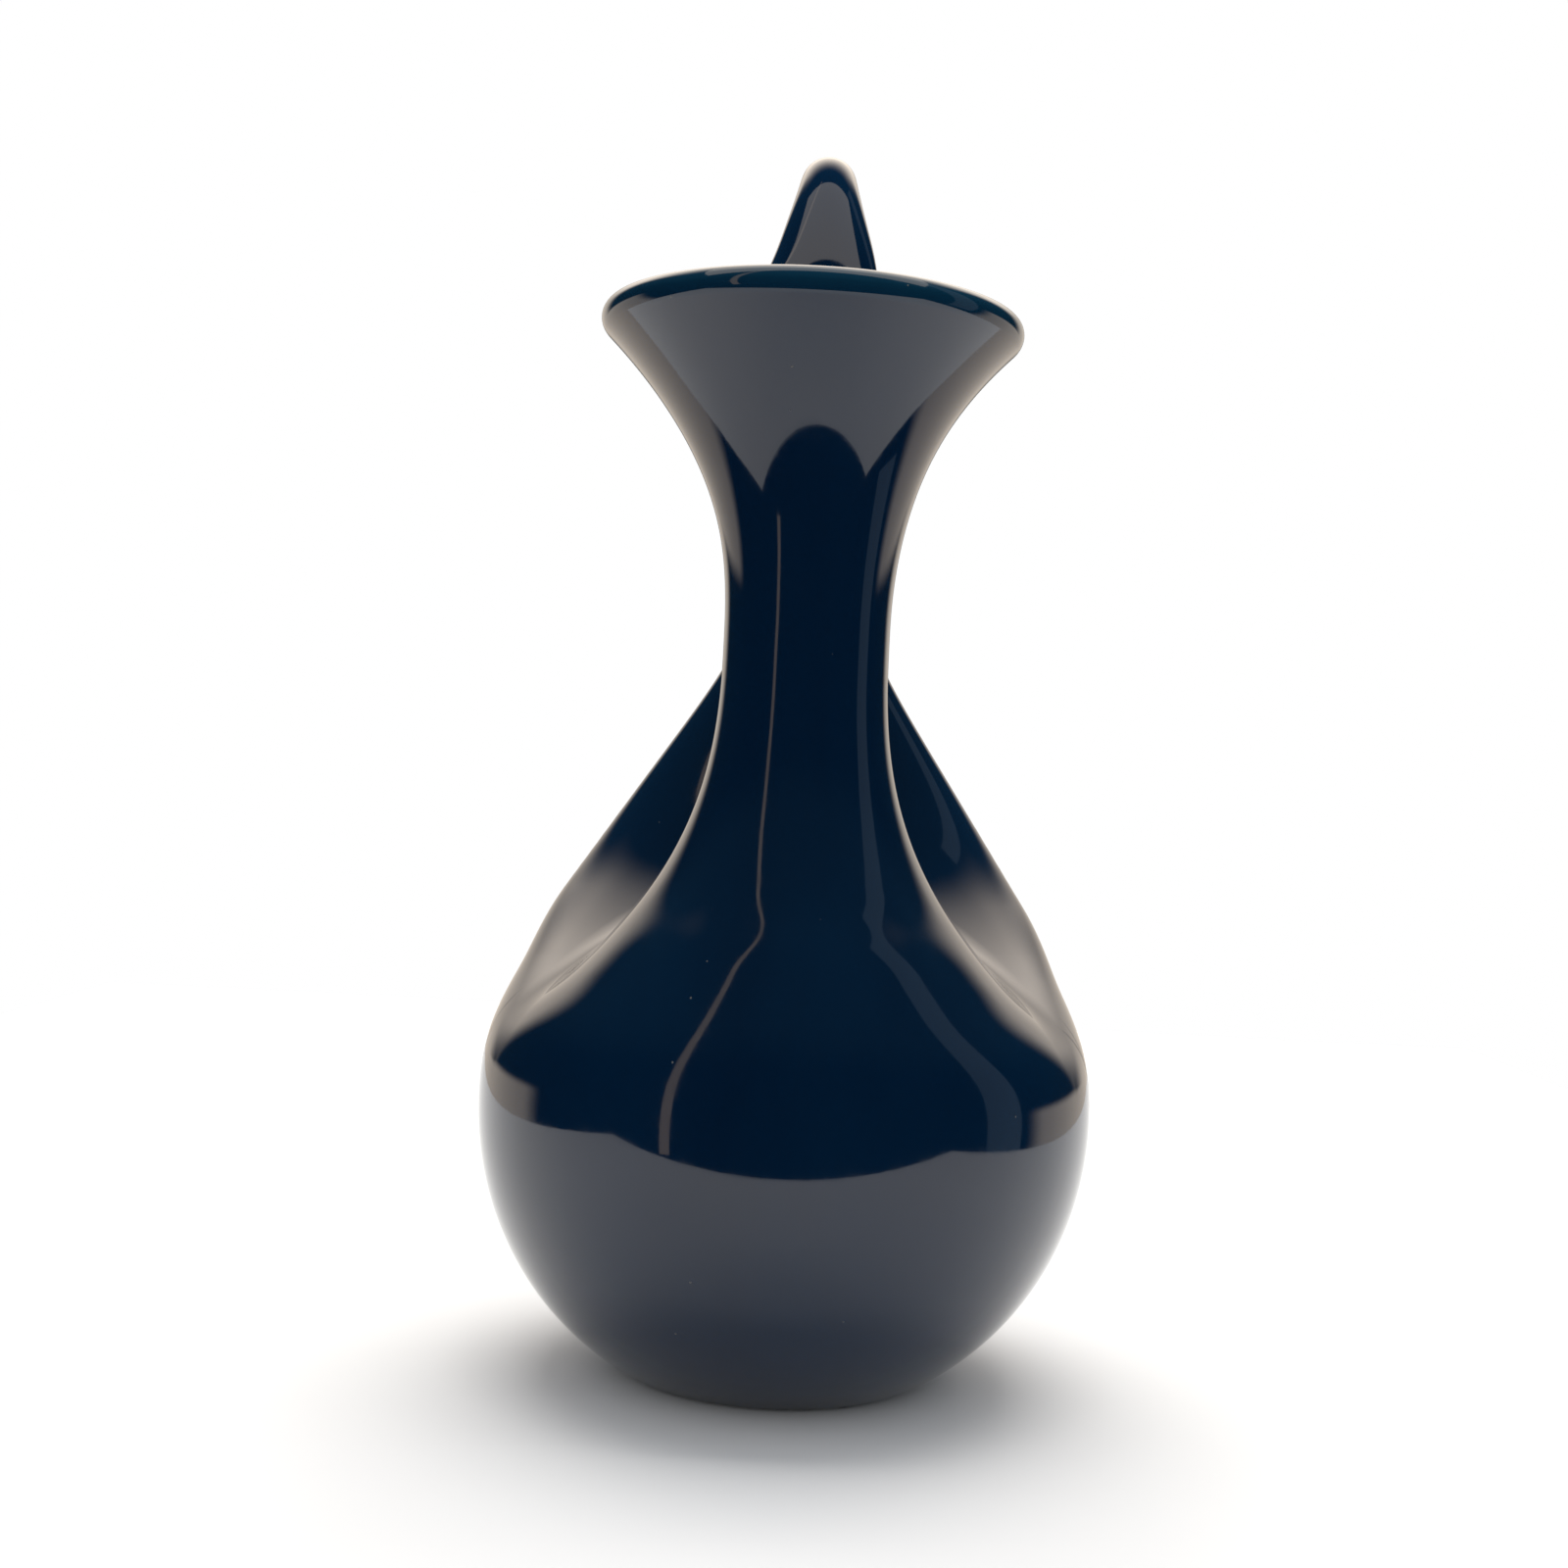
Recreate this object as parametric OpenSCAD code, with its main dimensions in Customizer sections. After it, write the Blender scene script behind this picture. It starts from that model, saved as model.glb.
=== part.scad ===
// High-handled ceramic ewer: a round belly whose shoulder divides into a slender
// trumpet neck in front and a broad cowl behind, and the cowl draws out into a
// loop handle that arches over and grows into the back of the lip.
// Frame: millimetres, +Z up, origin at the centre of the foot on the table.
// The neck stands towards -Y, the handle towards +Y, and X = 0 is the plane of symmetry.

/* [Belly] */
// Greatest radius of the belly
belly_r = 75; // [60:0.5:95]
// Height of the widest point above the table
belly_z = 66; // [55:0.5:80]
// Roundness of the lower belly: 2 is a circle, more is fuller
belly_fullness = 2.04; // [2:0.01:2.4]
// Thickness of the clay wall
wall = 5; // [4:0.1:6.5]

/* [Foot] */
// Inner radius of the turned foot ring
foot_bore_r = 30; // [22:0.5:32]
// Height of the foot ring, where the bowl sits on it
foot_h = 6; // [5:0.25:9]
// Depth of the hollow under the base disc
foot_recess = 2.5; // [1.5:0.1:3.5]

/* [Neck] */
// How far the neck's axis stands in front of the belly's axis
neck_forward = 20; // [14:0.5:26]
// Radius of the neck at its waist
waist_r = 19.7; // [16:0.1:25]
// Height of the neck's waist
waist_z = 179; // [160:1:205]
// Spread of the bell under the neck, as a share of the belly radius
bell_spread = 1.32; // [1.2:0.01:1.4]

/* [Mouth] */
// Radius at which the flare meets the lip
flare_r = 48.9; // [40:0.1:60]
// Height at which the flare meets the lip
lip_z = 249.3; // [225:0.1:275]
// Thickness of the lip, across the wall
lip_thick = 7.5; // [6:0.1:9]
// Length of the lip, along the wall
lip_long = 3.9; // [3:0.1:6]

/* [Handle] */
// Height of the top of the handle
handle_top_z = 311; // [290:1:340]
// Reach of the handle's back line at its waist, behind the belly's axis
handle_back_y = 56.8; // [52:0.2:59]
// Reach of the loop's centre line at its outermost point
loop_out_y = 58.5; // [54:0.5:64]
// Half width of the handle where it is a plain strap
strap_half_w = 12.5; // [9:0.1:15]
// Half thickness of the strap
strap_half_t = 8.2; // [6.5:0.1:9.5]
// Radius of the handle at the top of its arch
arch_r = 6.9; // [5.5:0.1:8]
// Half width of the tongue where it meets the lip
root_half_w = 19; // [14:0.5:22]

/* [Joints] */
// Depth of the spigots that locate one clay section in the next
spigot = 3; // [2:0.1:4]
// Gap left round a spigot for the slip that lutes it
slip_gap = 0.15; // [0.1:0.05:0.3]

/* [Hidden] */

glaze = [0.02, 0.09, 0.17];
bare_clay = [0.74, 0.66, 0.55];

round_fn = 96;         // facets that stand for a full turn in the preview
row_count = 14;        // rows of points up each shoulder
seam_steps = 38;       // steps along the seam between the two shoulders
front_steps = 34;      // steps round the front of the belly joint
back_steps = 42;       // steps round the back of the belly joint
strap_steps = 40;      // points round a section of the handle

// Heights where one form turns into the next, as shares of the rise from belly to waist.
rise = waist_z - belly_z;
function height_at(share) = belly_z + share * rise;
collar_z = height_at(0.61);      // joint of shoulder and neck, and of shoulder and cowl
flare_joint_z = height_at(1.24); // joint of neck tube and mouth flare
stem_z = height_at(1.06);        // joint of the hollow cowl and the solid stem
blend_reach = 12;                // how far the valley between neck and cowl is rounded

// The seam between the shoulders stands on a parabola that follows the valley's floor.
seam_y = 14;
seam_flat = 200;
front_pivot_y = -neck_forward;   // rays for the front shoulder start on this axis
back_pivot_y = 46;               // rays for the back shoulder start on this axis

function mix(a, b, t) = a + (b - a) * t;
function ease(t) = let (u = min(1, max(0, t))) u * u * u * (u * (6 * u - 15) + 10);
function window(z, from, to) = ease((z - height_at(from)) / (height_at(to) - height_at(from)));
function unit(v) = v / norm(v);

// ---- Profiles ----

// Radius of the plain ball at height z: a circle above, a fuller curve below.
function ball_r(z) = let (u = (z - belly_z) / belly_r)
    u > 0 ? belly_r * sqrt(max(0.02, 1 - u * u))
          : belly_r * pow(1 - pow(-u, belly_fullness), 1 / belly_fullness);

// Radius of the bell and neck below the waist.
function bell_r(z) = waist_r + (bell_spread * belly_r - waist_r)
    * pow((waist_z - z) / rise, 2.7);

// Radius of the neck and flare above the waist.
function trumpet_r(z) = waist_r + (flare_r - waist_r)
    * pow((z - waist_z) / (lip_z - waist_z), 2.45);

function neck_r(z) = z < waist_z ? bell_r(z) : trumpet_r(z);

// A lobe follows the ball at the belly joint, then the smaller of ball and lobe, then itself.
function soft_min(a, b, n) = pow(pow(a, -n) + pow(b, -n), -1 / n);
function leave_ball(z, lobe, n) = mix(
    mix(ball_r(z), soft_min(ball_r(z), lobe, n), window(z, 0, 0.3)), lobe, window(z, 0.3, 0.5));

// The front lobe: a circle that leaves the ball and becomes the neck.
function front_r(z) = leave_ball(z, bell_r(min(z, waist_z)), 8);
function front_line(z) = mix(ball_r(z), neck_forward + bell_r(min(z, waist_z)),
    window(z, 0.3, 0.5));
function front_y(z) = front_r(z) - front_line(z);

// The back lobe: an ellipse that leaves the ball and becomes the handle.
cowl_turn = 0.08 * rise;         // how softly the cowl turns into the strap
cowl_top_z = height_at(1.04);    // where the cowl's sides would meet the strap
cowl_bow = 0.9;                  // how far the cowl's sides bow outwards: 1 is straight
cowl_gain = (0.832 * belly_r - strap_half_w)
    / pow(cowl_top_z - height_at(0.407), cowl_bow);
function soft_ramp(x) = x > 30 ? x : ln(1 + exp(x));
function cowl_half_w(z) = strap_half_w
    + cowl_gain * pow(cowl_turn * soft_ramp((cowl_top_z - z) / cowl_turn), cowl_bow);
cowl_half_t = 16.7;              // half thickness of the cowl at the collar
function cowl_thick(z) = strap_half_t
    + (cowl_half_t - strap_half_t) * exp((collar_z - z) / (0.212 * rise));
function back_half_w(z) = mix(ball_r(z), cowl_half_w(z), window(z, 0.23, 0.44));
function back_half_t(z) = leave_ball(z, cowl_thick(z), 4);
function back_line(z) = handle_back_y + (belly_r - handle_back_y)
    * exp(-(z - belly_z) * (z - belly_z) / (2 * (belly_r - handle_back_y) * belly_r));
function back_y(z) = back_line(z) - back_half_t(z);

// Signed distance to the two lobes at height z, below zero inside, with the valley rounded.
function front_gap(x, y, z) = norm([x, y - front_y(z)]) - front_r(z);
function back_gap(x, y, z) =
    let (a = back_half_w(z), b = back_half_t(z), v = y - back_y(z),
         k0 = norm([x / a, v / b]), k1 = norm([x / (a * a), v / (b * b)]))
    k1 < 1e-9 ? -min(a, b) : k0 * (k0 - 1) / k1;
function shoulder_gap(x, y, z) =
    let (f = front_gap(x, y, z), g = back_gap(x, y, z),
         k = blend_reach * window(z, 0.08, 0.42) + 0.001, h = max(0, k - abs(f - g)) / k)
    min(f, g) - h * h * k / 4;

// ---- Shoulders ----

function seam_line(x) = seam_y - x * x / seam_flat;

// Root of the gap along a ray, by halving.
function ray_root(py, d, z, level, lo, hi, n = 24) =
    let (m = (lo + hi) / 2)
    n == 0 ? m
    : shoulder_gap(d.x * m, py + d.y * m, z) > level
        ? ray_root(py, d, z, level, lo, m, n - 1)
        : ray_root(py, d, z, level, m, hi, n - 1);

// Height at which the surface crosses the seam at x.
function seam_height(x, level, lo, hi, n = 24) =
    let (m = (lo + hi) / 2)
    n == 0 ? m
    : shoulder_gap(x, seam_line(x), m) > level
        ? seam_height(x, level, lo, m, n - 1)
        : seam_height(x, level, m, hi, n - 1);

// Half width of the seam at the belly joint.
function seam_corner(level, lo = 0, hi = belly_r, n = 30) =
    let (m = (lo + hi) / 2)
    n == 0 ? m
    : norm([m, seam_line(m)]) > belly_r + level
        ? seam_corner(level, lo, m, n - 1)
        : seam_corner(level, m, hi, n - 1);

// One column of a shoulder: direction from the pivot, lowest height, and longest ray.
function seam_columns(py, level, side) =
    let (corner = seam_corner(level))
    [for (i = [0 : seam_steps])
        let (x = side * corner * cos(180 * i / seam_steps),
             to = [x, seam_line(x) - py],
             low = i == 0 || i == seam_steps ? belly_z
                 : seam_height(x, level, belly_z, collar_z))
        [unit(to), low, norm(to)]];

// Columns that end at the belly joint, strictly between the two corners.
function belly_columns(py, level, side, steps) =
    let (corner = seam_corner(level), e = [corner, seam_line(corner) - py],
         from = side > 0 ? 180 - atan2(e.y, e.x) : atan2(e.y, e.x),
         to = side > 0 ? 360 + atan2(e.y, e.x) : 180 - atan2(e.y, e.x))
    [for (i = [1 : steps - 1])
        let (w = mix(from, to, i / steps))
        [[cos(w), sin(w)], belly_z, 1.6 * belly_r]];

// Rows crowd towards a low end that lies on the level floor of the valley.
function row_height(column, v, top) =
    let (m = (column[1] - belly_z) / (collar_z - belly_z))
    mix(column[1], top, mix(v, v * v, m));

function shoulder_row(columns, py, level, v) =
    [for (c = columns)
        let (z = row_height(c, v, collar_z),
             r = v == 0 && c[2] < 1.5 * belly_r ? c[2]
                 : ray_root(py, c[0], z, level, 0, c[2]))
        [c[0].x * r, py + c[0].y * r, z]];

function level_row(columns, py, level, z) =
    [for (c = columns)
        let (r = ray_root(py, c[0], z, level, 0, c[2]))
        [c[0].x * r, py + c[0].y * r, z]];

// A shoulder shell: outer rows up, a spigot on top, and inner rows down.
module shoulder(py, side, steps) {
    outer = concat(seam_columns(py, 0, side), belly_columns(py, 0, side, steps));
    inner = concat(seam_columns(py, -wall, side), belly_columns(py, -wall, side, steps));
    mid = -wall / 2;
    rows = concat(
        [for (i = [0 : row_count]) shoulder_row(outer, py, 0, i / row_count)],
        [level_row(inner, py, mid, collar_z), level_row(inner, py, mid, collar_z + spigot),
         level_row(inner, py, -wall, collar_z + spigot)],
        [for (i = [row_count : -1 : 0]) shoulder_row(inner, py, -wall, i / row_count)]);
    skin(rows, true, side < 0);
}

module front_shoulder() {
    color(glaze) shoulder(front_pivot_y, 1, front_steps);
}

module back_shoulder() {
    color(glaze) shoulder(back_pivot_y, -1, back_steps);
}

// ---- Solids from rings of points ----

// Joins rings of points, each listed anticlockwise seen from the next ring. The split
// of each quad can be flipped, so that two mirrored solids meet on the same triangles.
module skin(rings, closed = false, flip = false) {
    n = len(rings);
    m = len(rings[0]);
    last = closed ? n - 1 : n - 2;
    sides = [for (i = [0 : last], j = [0 : m - 1])
        let (a = i * m + j, b = ((i + 1) % n) * m + j,
             c = ((i + 1) % n) * m + (j + 1) % m, d = i * m + (j + 1) % m)
        each flip ? [[a, b, d], [b, c, d]] : [[a, b, c], [a, c, d]]];
    caps = closed ? [] : [[for (j = [0 : m - 1]) j],
                          [for (j = [m - 1 : -1 : 0]) (n - 1) * m + j]];
    polyhedron([for (r = rings) each r], concat(sides, caps), convexity = 6);
}

// ---- Belly ----

// Inner radius of the bowl, one wall inside the ball.
function bowl_bore_r(z) =
    let (r = belly_r - wall, u = (belly_z - z) / r)
    r * pow(1 - pow(u, belly_fullness), 1 / belly_fullness);

floor_z = foot_h + 2.5;                      // top of the base disc
disc_r = bowl_bore_r(floor_z);               // reach of the base disc
coil_seat = 2;                               // width of the ledge under the belly coil
coil_deep = 3;                               // depth of that ledge
coil_rise = 4;                               // how far the coil stands up into the shoulders
bowl_rows = 22;

module foot_ring() {
    toe = 2.6;                               // rounding of the edge on the table
    toe_r = ball_r(toe) - toe * 1.05;
    rim = [for (i = [1 : 4]) let (z = mix(toe, foot_h, i / 4)) [ball_r(z), z]];
    edge = [for (a = [-90 : 15 : -15]) [toe_r + toe * cos(a), toe + toe * sin(a)]];
    color(bare_clay)
        rotate_extrude($fn = round_fn)
            polygon(concat([[foot_bore_r, 0]], edge, [[ball_r(toe), toe]], rim,
                           [[foot_bore_r, foot_h]]));
}

module base_disc() {
    color(bare_clay) {
        union() {
            translate([0, 0, foot_recess])
                cylinder(r = foot_bore_r - slip_gap, h = foot_h - foot_recess, $fn = round_fn);
            translate([0, 0, foot_h])
                cylinder(r = disc_r - slip_gap, h = floor_z - foot_h, $fn = round_fn);
        }
    }
}

module lower_bowl() {
    outer = [for (i = [0 : bowl_rows])
        let (z = mix(foot_h, belly_z, i / bowl_rows)) [ball_r(z), z]];
    ledge_z = belly_z - coil_deep;
    inner = [for (i = [bowl_rows : -1 : 0])
        let (z = mix(floor_z, ledge_z, i / bowl_rows)) [bowl_bore_r(z), z]];
    color(glaze)
        rotate_extrude($fn = round_fn)
            polygon(concat([[disc_r, foot_h]], outer,
                           [[belly_r - wall + coil_seat, belly_z],
                            [belly_r - wall + coil_seat, ledge_z]], inner));
}

// A coil laid inside the belly joint, seated on the bowl's ledge.
module belly_coil() {
    low = belly_z - coil_deep;
    seat_r = belly_r - wall + coil_seat - slip_gap;
    upper_r = belly_r - wall - 3 * slip_gap;
    color(bare_clay)
        rotate_extrude($fn = round_fn)
            polygon([[upper_r - 2.6, low + 0.6], [upper_r - 2, low], [seat_r, low],
                     [seat_r, belly_z - slip_gap], [upper_r, belly_z - slip_gap],
                     [upper_r, belly_z + coil_rise - 1], [upper_r - 1, belly_z + coil_rise],
                     [upper_r - 2.2, belly_z + coil_rise - 0.8]]);
}

// ---- Neck and mouth ----

neck_rows = 26;
flare_rows = 20;
lip_steps = 18;

function trumpet_slope(z) = 2.45 * (flare_r - waist_r) / (lip_z - waist_z)
    * pow((z - waist_z) / (lip_z - waist_z), 1.45);
function flare_wall(z) = mix(wall, lip_thick, ease((z - flare_joint_z) / (lip_z - flare_joint_z)));
function flare_inner(z) =
    let (lean = atan(trumpet_slope(z)), t = flare_wall(z))
    [trumpet_r(z) - t * cos(lean), z + t * sin(lean)];
lip_outer = [flare_r, lip_z];
lip_inner = flare_inner(lip_z);
lip_mid = (lip_outer + lip_inner) / 2;

module neck_tube() {
    top = flare_joint_z;
    outer = [for (i = [0 : neck_rows])
        let (z = mix(collar_z, top, i / neck_rows)) [neck_r(z), z]];
    inner = [for (i = [neck_rows : -1 : 0])
        let (z = mix(collar_z + spigot + slip_gap, top + spigot, i / neck_rows))
        [neck_r(z) - wall, z]];
    tongue = [[neck_r(top) - wall / 2, top], [neck_r(top + spigot) - wall / 2, top + spigot]];
    rebate = [for (z = [collar_z + spigot + slip_gap, collar_z])
        [neck_r(z) - wall / 2 + slip_gap, z]];
    color(glaze)
        translate([0, -neck_forward, 0])
            rotate_extrude($fn = round_fn)
                polygon(concat(outer, tongue, inner, rebate));
}

module mouth_flare() {
    low = flare_joint_z;
    step_z = low + spigot + slip_gap;
    outer = [for (i = [0 : flare_rows])
        let (z = mix(low, lip_z, i / flare_rows)) [trumpet_r(z), z]];
    inner = [for (i = [flare_rows : -1 : 1])
        let (z = mix(low, lip_z, i / flare_rows)) if (flare_inner(z).y > step_z + 0.3)
        flare_inner(z)];
    rebate = [[neck_r(step_z) - wall, step_z], [neck_r(step_z) - wall / 2 + slip_gap, step_z],
              [neck_r(low) - wall / 2 + slip_gap, low]];
    color(glaze)
        translate([0, -neck_forward, 0])
            rotate_extrude($fn = round_fn)
                polygon(concat(outer, inner, rebate));
}

// The lip is half an oval roll that sits on the bevelled end of the flare.
module lip_shape() {
    across = (lip_outer - lip_inner) / 2;
    along = unit([-across.y, across.x]) * lip_long;
    polygon([for (i = [0 : lip_steps])
        let (a = 180 * i / lip_steps) lip_mid + across * cos(a) + along * sin(a)]);
}

module lip_ring() {
    color(glaze)
        translate([0, -neck_forward, 0])
            rotate_extrude($fn = round_fn)
                lip_shape();
}

// ---- Handle ----

cowl_rows = 16;
cavity_top_z = height_at(0.97);  // where the hollow in the cowl closes

// A ring round the cowl at height z, a given distance outside its surface.
function cowl_ring(z, level, share = 1) =
    [for (j = [0 : strap_steps - 1])
        let (s = 360 * j / strap_steps, a = back_half_w(z), b = back_half_t(z),
             d = unit([a * cos(s), b * sin(s)]),
             c0 = norm([d.x / a, d.y / b]), c1 = norm([d.x / (a * a), d.y / (b * b)]),
             r = share * (1 + level * c1 / c0) / c0)
        [d.x * r, back_y(z) + d.y * r, z]];

module handle_cowl() {
    low = collar_z;
    step_z = low + spigot + slip_gap;
    round_z = mix(low, cavity_top_z, 0.35);
    cavity = [for (i = [cowl_rows : -1 : 0])
        let (z = mix(step_z, cavity_top_z - 0.4, i / cowl_rows),
             u = max(0, (z - round_z) / (cavity_top_z - round_z)))
        cowl_ring(z, -wall, sqrt(1 - u * u))];
    rebate = [for (z = [step_z, low]) cowl_ring(z, -wall / 2 + slip_gap)];
    outer = [for (i = [0 : cowl_rows]) cowl_ring(mix(low, stem_z, i / cowl_rows), 0)];
    peg = [for (dz = [0, spigot])
        oval([back_y(stem_z), stem_z + dz], [0, 1], back_half_w(stem_z) / 2,
             back_half_t(stem_z) / 2, 0)];
    color(glaze) skin(concat(cavity, rebate, outer, peg));
}

// Stations of the handle: [reach, height, half width, half thickness].
// The first three carry on the cowl's line with the same slope and bend.
root_y = lip_mid.x - neck_forward;
arch_z = handle_top_z - arch_r;
function cowl_station(z) = [back_y(z), z, back_half_w(z), back_half_t(z)];
function loop_station(a, b, w, t) = [mix(root_y, loop_out_y, a), mix(lip_z, arch_z, b), w, t];
root_level = 0.643 * lip_thick;   // the tongue ends this far above the joint of the lip
root_pitch = 1.9 * lip_thick;     // and its last stations are this far apart
function root_station(a, k, w, t) =
    [mix(root_y, loop_out_y, a), lip_z + root_level + k * root_pitch, w, t];
station_rise = 20;
function start_stations(z, h) =
    let (p = cowl_station(z), up = cowl_station(z + h), down = cowl_station(z - h),
         slope = (up - down) / 2 * station_rise / h,
         bend = (up + down - 2 * p) * pow(station_rise / h, 2),
         mid = p - bend / 6)
    [mid - slope + bend / 2, mid, mid + slope + bend / 2];
stations = concat(start_stations(stem_z, 1), [
    loop_station(0.84, -0.39, strap_half_w, strap_half_t),
    loop_station(0.985, -0.05, strap_half_w - 0.3, strap_half_t - 0.2),
    loop_station(1.025, 0.304, strap_half_w - 1.5, mix(arch_r, strap_half_t, 0.7)),
    loop_station(0.902, 0.606, mix(arch_r, strap_half_w, 0.43), mix(arch_r, strap_half_t, 0.4)),
    loop_station(0.677, 0.881, mix(arch_r, strap_half_w, 0.12), mix(arch_r, strap_half_t, 0.1)),
    loop_station(0.326, 1.048, arch_r - 0.2, arch_r),
    loop_station(0.039, 0.906, mix(arch_r, root_half_w, 0.09), arch_r - 0.2),
    loop_station(-0.072, 0.616, mix(arch_r, root_half_w, 0.47), arch_r - 0.9),
    root_station(-0.060, 1, mix(arch_r, root_half_w, 0.82), 0.55 * lip_thick + 0.8),
    root_station(0.002, 0, root_half_w + 0.4, 0.45 * lip_thick + 0.4),
    root_station(0.083, -1, root_half_w + 1.6, 0.38 * lip_thick)]);
last_station = len(stations) - 3;
stem_end = 3.2;                  // joint of stem and arch, in stations
arch_end = 8.5;                  // joint of arch and root

// The curve through the stations and its direction, both without a break in bend.
function handle_at(s) =
    let (i = min(floor(s), last_station - 1), u = s - i, v = 1 - u)
    (stations[i] * v * v * v + stations[i + 1] * (3 * u * u * u - 6 * u * u + 4)
     + stations[i + 2] * (3 * v * v * v - 6 * v * v + 4) + stations[i + 3] * u * u * u) / 6;
function handle_run(s) =
    let (i = min(floor(s), last_station - 1), u = s - i, v = 1 - u)
    -stations[i] * v * v / 2 + stations[i + 1] * (3 * u * u - 4 * u) / 2
    - stations[i + 2] * (3 * v * v - 4 * v) / 2 + stations[i + 3] * u * u / 2;

// Direction across which the section stands; level at the first station.
function handle_dir(s) =
    let (r = handle_run(s), a = atan2(r.x, r.y), hold = ease(s / 1.2))
    [sin(a * hold), cos(a * hold)];

// An oval ring square to a direction, curled round the neck's axis by a share.
function oval(p, dir, w, t, curl) =
    let (reach = p.x + neck_forward)
    [for (j = [0 : strap_steps - 1])
        let (s = 360 * j / strap_steps, x = w * cos(s), v = t * sin(s),
             sag = reach - sqrt(max(1, reach * reach - x * x)))
        [x, p.x + v * dir.y - curl * sag, p.y - v * dir.x]];

function handle_curl(s) = ease((s - arch_end) / (last_station - arch_end));
function handle_ring(s, grow = 0, share = 1, lift = 0) =
    let (h = handle_at(s), d = handle_dir(s))
    oval([h.x + d.x * lift, h.y + d.y * lift], d, h[2] * share + grow, h[3] * share + grow,
         handle_curl(s));

// Socket at the start of a length of the handle, and peg at its end.
function socket_rings(s) = [handle_ring(s, slip_gap, 0.5, spigot + slip_gap),
                            handle_ring(s, slip_gap, 0.5, 0)];
function peg_rings(s) = [handle_ring(s, 0, 0.5, 0), handle_ring(s, 0, 0.5, spigot)];

module handle_length(from, to, rows) {
    body = [for (i = [0 : rows]) handle_ring(mix(from, to, i / rows))];
    skin(concat(socket_rings(from), body, peg_rings(to)));
}

module handle_stem() {
    color(glaze) handle_length(0, stem_end, 16);
}

module handle_arch() {
    color(glaze) handle_length(stem_end, arch_end, 34);
}

// Distance outside the lip and the wall below it, in half thicknesses, about the neck's axis.
lip_across = unit(lip_outer - lip_inner);
lip_along = [-lip_across.y, lip_across.x];
function lip_gap(p) =
    let (q = [norm([p.x, p.y + neck_forward]), p.z] - lip_mid,
         u = q * lip_across * 2 / lip_thick, v = q * lip_along / lip_long)
    v > 0 ? norm([u, v]) - 1 : abs(u) - 1;

// How far along the handle a line of its surface runs before it meets the lip.
function lip_meet(j, share, lo, hi, n = 22) =
    let (m = (lo + hi) / 2)
    n == 0 ? m
    : lip_gap(handle_ring(m, 0, share)[j]) > 0
        ? lip_meet(j, share, m, hi, n - 1)
        : lip_meet(j, share, lo, m, n - 1);

root_rows = 14;

// The tongue of the handle, shaped to sit over the lip.
module handle_root() {
    meets = [for (j = [0 : strap_steps - 1]) lip_meet(j, 1, arch_end, last_station)];
    body = [for (i = [0 : root_rows])
        [for (j = [0 : strap_steps - 1]) handle_ring(mix(arch_end, meets[j], i / root_rows))[j]]];
    sole = [for (share = [0.8, 0.6, 0.4, 0.2, 0.02])
        [for (j = [0 : strap_steps - 1])
            handle_ring(lip_meet(j, share, arch_end, last_station), 0, share)[j]]];
    color(glaze) skin(concat(socket_rings(arch_end), body, sole));
}

foot_ring();
base_disc();
lower_bowl();
belly_coil();
front_shoulder();
back_shoulder();
neck_tube();
mouth_flare();
lip_ring();
handle_cowl();
handle_stem();
handle_arch();
handle_root();
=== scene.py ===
import math

import bpy
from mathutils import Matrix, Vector
import numpy as np


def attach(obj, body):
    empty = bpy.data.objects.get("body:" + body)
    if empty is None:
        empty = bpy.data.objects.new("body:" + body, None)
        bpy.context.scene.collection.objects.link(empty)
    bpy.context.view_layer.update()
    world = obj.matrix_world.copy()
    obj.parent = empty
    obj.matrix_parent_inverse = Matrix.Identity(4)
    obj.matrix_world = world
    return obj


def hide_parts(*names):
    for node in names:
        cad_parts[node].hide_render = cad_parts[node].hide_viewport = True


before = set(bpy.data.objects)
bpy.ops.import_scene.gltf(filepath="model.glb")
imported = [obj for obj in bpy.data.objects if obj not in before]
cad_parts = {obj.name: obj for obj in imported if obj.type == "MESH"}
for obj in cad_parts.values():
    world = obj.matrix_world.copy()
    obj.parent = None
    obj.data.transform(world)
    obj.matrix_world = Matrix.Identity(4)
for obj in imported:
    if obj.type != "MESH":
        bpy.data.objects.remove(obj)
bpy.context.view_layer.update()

# ---------------------------------------------------------------- dimensions, mm
BELLY_R, BELLY_Z, FULL, WALL = 75.0, 66.0, 2.04, 5.0
FOOT_BORE, FOOT_H, FOOT_RECESS = 30.0, 6.0, 2.5
NECK_Y, WAIST_R, WAIST_Z, SPREAD = 20.0, 19.7, 179.0, 1.32
FLARE_R, LIP_Z, LIP_T, LIP_L = 48.9, 249.3, 7.5, 3.9
TOP_Z, BACK_Y, OUT_Y = 311.0, 56.8, 58.5
STRAP_W, STRAP_T, ARCH_R, ROOT_W = 12.5, 8.2, 6.9, 19.0
BELL_POWER, FLARE_POWER = 2.7, 2.45
COWL_ROOT_T = 16.7
TOE = 1.2
DISC_T = 2.5
COIL_R, COIL_HALF_T, COIL_HALF_H = 68.0, 1.8, 3.6
MOUTH_DRIFT = -2.1
FILLET, SINK = 5.0, 0.6
RISE = WAIST_Z - BELLY_Z
GAP = 0.15


def at(share):
    return BELLY_Z + share * RISE


COLLAR_Z, FLARE_Z, STEM_Z = at(0.61), at(1.24), at(1.06)
REACH, SEAM_Y, SEAM_F = 12.0, 14.0, 200.0
FRONT_P, BACK_P = -NECK_Y, 46.0


def mix(a, b, t):
    return a + (b - a) * t


def ease(t):
    u = np.clip(t, 0.0, 1.0)
    return u * u * u * (u * (6 * u - 15) + 10)


def window(z, a, b):
    return ease((z - at(a)) / (at(b) - at(a)))


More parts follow.
